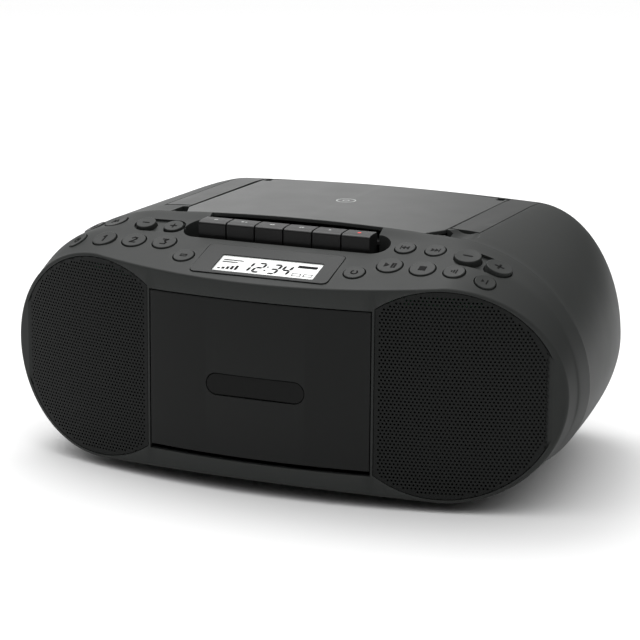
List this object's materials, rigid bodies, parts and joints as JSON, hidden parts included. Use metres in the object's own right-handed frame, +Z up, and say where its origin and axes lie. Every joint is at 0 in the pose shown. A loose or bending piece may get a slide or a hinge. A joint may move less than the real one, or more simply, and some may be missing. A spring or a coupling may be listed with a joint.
{
  "type": "boombox",
  "caption": "Portable stereo radio with a flip-up disc lid, a front cassette deck with piano keys, round speakers, push buttons, folding handle and telescopic antenna.",
  "frame": {"origin": "middle of the footprint, on the surface the feet stand on", "axes": "+X to the right seen from the front, -Y to the front, +Z up"},
  "size_m": [0.35, 0.226, 0.1483],
  "materials": {
    "cabinet_plastic": "fine grained dark grey ABS",
    "lid_plastic": "satin dark grey ABS",
    "handle_plastic": "satin dark grey ABS",
    "grille_metal": "perforated sheet, satin black paint",
    "driver_basket": "pressed steel, black",
    "cone_paper": "black paper cone with soft surround",
    "door_plastic": "satin near-black",
    "smoked_window": "smoked clear plastic",
    "inner_plastic": "black moulding",
    "plated_steel": "zinc plated",
    "brass_flywheel": "turned",
    "black_plastic": "black moulding",
    "black_rubber": "soft black rubber",
    "display_window": "dark surround with a clear window",
    "display_glass": "pale reflective liquid crystal panel",
    "board": "green laminate with parts",
    "antenna_chrome": "chromed tube",
    "key_plastic": "black, fine texture",
    "button_plastic": "satin dark grey"
  },
  "bodies": {
    "case": {"front_cabinet": "cabinet_plastic", "rear_cabinet": "cabinet_plastic", "left_grille": "grille_metal", "right_grille": "grille_metal", "left_speaker_frame": "driver_basket", "right_speaker_frame": "driver_basket", "deck_chassis": "plated_steel", "deck_motor": "plated_steel", "lcd_window": "display_window", "lcd_module": "display_glass", "circuit_boards": "board", "power_transformer": "plated_steel", "mains_inlet": "black_plastic", "battery_contacts": "plated_steel", "side_jacks": "black_plastic", "cd_well": "inner_plastic", "feet": "black_rubber", "case_screws": "plated_steel"},
    "left_cone": {"left_speaker_cone": "cone_paper"},
    "right_cone": {"right_speaker_cone": "cone_paper"},
    "tape_door": {"cassette_door": "door_plastic", "cassette_window": "smoked_window", "cassette_holder": "inner_plastic"},
    "flywheel": {"flywheel": "brass_flywheel"},
    "supply_reel": {"supply_reel": "black_plastic"},
    "takeup_reel": {"takeup_reel": "black_plastic"},
    "pinch_roller": {"pinch_roller": "black_rubber"},
    "turntable": {"cd_turntable": "black_plastic"},
    "pickup": {"cd_pickup": "black_plastic"},
    "lid": {"cd_lid": "lid_plastic"},
    "handle": {"handle": "handle_plastic"},
    "antenna_swivel": {"antenna_base": "black_plastic"},
    "antenna_outer": {"antenna_outer_tube": "antenna_chrome"},
    "antenna_middle": {"antenna_middle_tube": "antenna_chrome"},
    "antenna_end": {"antenna_tip": "antenna_chrome"},
    "battery_cover": {"battery_cover": "cabinet_plastic"},
    "pause_key": {"pause_key": "key_plastic"},
    "stop_eject_key": {"stop_eject_key": "key_plastic"},
    "fast_forward_key": {"fast_forward_key": "key_plastic"},
    "rewind_key": {"rewind_key": "key_plastic"},
    "play_key": {"play_key": "key_plastic"},
    "record_key": {"record_key": "key_plastic"},
    "power_button": {"power_button": "button_plastic"},
    "radio_band_button": {"radio_band_button": "button_plastic"},
    "tune_down_button": {"tune_down_button": "button_plastic"},
    "tune_up_button": {"tune_up_button": "button_plastic"},
    "clock_button": {"clock_button": "button_plastic"},
    "preset_1_button": {"preset_1_button": "button_plastic"},
    "preset_2_button": {"preset_2_button": "button_plastic"},
    "preset_3_button": {"preset_3_button": "button_plastic"},
    "display_button": {"display_button": "button_plastic"},
    "skip_back_button": {"skip_back_button": "button_plastic"},
    "skip_forward_button": {"skip_forward_button": "button_plastic"},
    "repeat_button": {"repeat_button": "button_plastic"},
    "cd_play_button": {"cd_play_button": "button_plastic"},
    "cd_stop_button": {"cd_stop_button": "button_plastic"},
    "sound_button": {"sound_button": "button_plastic"},
    "line_in_button": {"line_in_button": "button_plastic"},
    "volume_down_button": {"volume_down_button": "button_plastic"},
    "volume_up_button": {"volume_up_button": "button_plastic"}
  },
  "joints": [
    {"name": "left_cone_stroke", "type": "slide", "parent": "case", "child": "left_cone", "axis": [0, -1, 0], "range_m": [-0.0012, 0.0012], "stiffness_N_per_m": 1000},
    {"name": "right_cone_stroke", "type": "slide", "parent": "case", "child": "right_cone", "axis": [0, -1, 0], "range_m": [-0.0012, 0.0012], "stiffness_N_per_m": 1000},
    {"name": "tape_door_tilt", "type": "hinge", "parent": "case", "child": "tape_door", "pos_m": [0, -0.1045, 0.024], "axis": [1, 0, 0], "range_deg": [0, 30]},
    {"name": "flywheel_spin", "type": "hinge", "parent": "case", "child": "flywheel", "pos_m": [-0.03, -0.075, 0.086], "axis": [0, 1, 0], "continuous": true},
    {"name": "supply_reel_spin", "type": "hinge", "parent": "case", "child": "supply_reel", "pos_m": [-0.02125, -0.075, 0.0626], "axis": [0, 1, 0], "continuous": true},
    {"name": "takeup_reel_spin", "type": "hinge", "parent": "case", "child": "takeup_reel", "pos_m": [0.02125, -0.075, 0.0626], "axis": [0, 1, 0], "continuous": true},
    {"name": "pinch_roller_spin", "type": "hinge", "parent": "case", "child": "pinch_roller", "pos_m": [-0.03, -0.075, 0.1006], "axis": [0, 1, 0], "continuous": true},
    {"name": "turntable_spin", "type": "hinge", "parent": "case", "child": "turntable", "pos_m": [0, 0.0148, 0.131], "axis": [0, 0, 1], "continuous": true},
    {"name": "pickup_travel", "type": "slide", "parent": "case", "child": "pickup", "axis": [1, 0, 0], "range_m": [0, 0.023]},
    {"name": "lid_tilt", "type": "hinge", "parent": "case", "child": "lid", "pos_m": [0, 0.073, 0.1434], "axis": [-1, 0, 0], "range_deg": [0, 75]},
    {"name": "handle_swing", "type": "hinge", "parent": "case", "child": "handle", "pos_m": [0, -0.012, 0.1405], "axis": [1, 0, 0], "range_deg": [0, 90]},
    {"name": "antenna_turn", "type": "hinge", "parent": "case", "child": "antenna_swivel", "pos_m": [0.108, 0.1082, 0.106], "axis": [0, 1, 0], "range_deg": [0, 150]},
    {"name": "antenna_tilt", "type": "hinge", "parent": "antenna_swivel", "child": "antenna_outer", "pos_m": [0.1015, 0.1082, 0.106], "axis": [0, 0, -1], "range_deg": [0, 60]},
    {"name": "antenna_middle_slide", "type": "slide", "parent": "antenna_outer", "child": "antenna_middle", "axis": [-1, 0, 0], "range_m": [0, 0.115]},
    {"name": "antenna_tip_slide", "type": "slide", "parent": "antenna_middle", "child": "antenna_end", "axis": [-1, 0, 0], "range_m": [0, 0.112]},
    {"name": "battery_cover_tilt", "type": "hinge", "parent": "case", "child": "battery_cover", "pos_m": [0, 0.1119, 0.0256], "axis": [-1, 0, 0], "range_deg": [0, 75]},
    {"name": "pause_key_press", "type": "hinge", "parent": "case", "child": "pause_key", "pos_m": [-0.049, -0.035, 0.124], "axis": [1, 0, 0], "range_deg": [0, 8], "stiffness_Nm_per_rad": 0.5, "springref_deg": -5.73},
    {"name": "stop_eject_key_press", "type": "hinge", "parent": "case", "child": "stop_eject_key", "pos_m": [-0.031, -0.035, 0.124], "axis": [1, 0, 0], "range_deg": [0, 8], "stiffness_Nm_per_rad": 0.5, "springref_deg": -5.73},
    {"name": "fast_forward_key_press", "type": "hinge", "parent": "case", "child": "fast_forward_key", "pos_m": [-0.013, -0.035, 0.124], "axis": [1, 0, 0], "range_deg": [0, 8], "stiffness_Nm_per_rad": 0.5, "springref_deg": -5.73},
    {"name": "rewind_key_press", "type": "hinge", "parent": "case", "child": "rewind_key", "pos_m": [0.005, -0.035, 0.124], "axis": [1, 0, 0], "range_deg": [0, 8], "stiffness_Nm_per_rad": 0.5, "springref_deg": -5.73},
    {"name": "play_key_press", "type": "hinge", "parent": "case", "child": "play_key", "pos_m": [0.023, -0.035, 0.124], "axis": [1, 0, 0], "range_deg": [0, 8], "stiffness_Nm_per_rad": 0.5, "springref_deg": -5.73},
    {"name": "record_key_press", "type": "hinge", "parent": "case", "child": "record_key", "pos_m": [0.041, -0.035, 0.124], "axis": [1, 0, 0], "range_deg": [0, 8], "stiffness_Nm_per_rad": 0.5, "springref_deg": -5.73},
    {"name": "power_press", "type": "slide", "parent": "case", "child": "power_button", "axis": [0.416, 0.1478, -0.8973], "range_m": [0, 0.001], "stiffness_N_per_m": 500, "springref_m": -0.001},
    {"name": "radio_band_press", "type": "slide", "parent": "case", "child": "radio_band_button", "axis": [0.223, 0.225, -0.9485], "range_m": [0, 0.001], "stiffness_N_per_m": 500, "springref_m": -0.001},
    {"name": "tune_down_press", "type": "slide", "parent": "case", "child": "tune_down_button", "axis": [0.0004, 0.3202, -0.9473], "range_m": [0, 0.001], "stiffness_N_per_m": 500, "springref_m": -0.001},
    {"name": "tune_up_press", "type": "slide", "parent": "case", "child": "tune_up_button", "axis": [0, 0.3202, -0.9473], "range_m": [0, 0.001], "stiffness_N_per_m": 500, "springref_m": -0.001},
    {"name": "clock_press", "type": "slide", "parent": "case", "child": "clock_button", "axis": [0.3972, 0.364, -0.8424], "range_m": [0, 0.001], "stiffness_N_per_m": 500, "springref_m": -0.001},
    {"name": "preset_1_press", "type": "slide", "parent": "case", "child": "preset_1_button", "axis": [0.1028, 0.3507, -0.9308], "range_m": [0, 0.001], "stiffness_N_per_m": 500, "springref_m": -0.001},
    {"name": "preset_2_press", "type": "slide", "parent": "case", "child": "preset_2_button", "axis": [0.0028, 0.3403, -0.9403], "range_m": [0, 0.001], "stiffness_N_per_m": 500, "springref_m": -0.001},
    {"name": "preset_3_press", "type": "slide", "parent": "case", "child": "preset_3_button", "axis": [0.0019, 0.3313, -0.9435], "range_m": [0, 0.001], "stiffness_N_per_m": 500, "springref_m": -0.001},
    {"name": "display_press", "type": "slide", "parent": "case", "child": "display_button", "axis": [0.0018, 0.3378, -0.9412], "range_m": [0, 0.001], "stiffness_N_per_m": 500, "springref_m": -0.001},
    {"name": "skip_back_press", "type": "slide", "parent": "case", "child": "skip_back_button", "axis": [0, 0.3202, -0.9473], "range_m": [0, 0.001], "stiffness_N_per_m": 500, "springref_m": -0.001},
    {"name": "skip_forward_press", "type": "slide", "parent": "case", "child": "skip_forward_button", "axis": [0, 0.3202, -0.9473], "range_m": [0, 0.001], "stiffness_N_per_m": 500, "springref_m": -0.001},
    {"name": "repeat_press", "type": "slide", "parent": "case", "child": "repeat_button", "axis": [-0.0017, 0.3377, -0.9413], "range_m": [0, 0.001], "stiffness_N_per_m": 500, "springref_m": -0.001},
    {"name": "cd_play_press", "type": "slide", "parent": "case", "child": "cd_play_button", "axis": [-0.0018, 0.3385, -0.941], "range_m": [0, 0.001], "stiffness_N_per_m": 500, "springref_m": -0.001},
    {"name": "cd_stop_press", "type": "slide", "parent": "case", "child": "cd_stop_button", "axis": [-0.0027, 0.34, -0.9404], "range_m": [0, 0.001], "stiffness_N_per_m": 500, "springref_m": -0.001},
    {"name": "sound_press", "type": "slide", "parent": "case", "child": "sound_button", "axis": [-0.0096, 0.3421, -0.9396], "range_m": [0, 0.001], "stiffness_N_per_m": 500, "springref_m": -0.001},
    {"name": "line_in_press", "type": "slide", "parent": "case", "child": "line_in_button", "axis": [-0.3179, 0.3645, -0.8753], "range_m": [0, 0.001], "stiffness_N_per_m": 500, "springref_m": -0.001},
    {"name": "volume_down_press", "type": "slide", "parent": "case", "child": "volume_down_button", "axis": [-0.1013, 0.2646, -0.959], "range_m": [0, 0.001], "stiffness_N_per_m": 500, "springref_m": -0.001},
    {"name": "volume_up_press", "type": "slide", "parent": "case", "child": "volume_up_button", "axis": [-0.3423, 0.1664, -0.9248], "range_m": [0, 0.001], "stiffness_N_per_m": 500, "springref_m": -0.001}
  ]
}
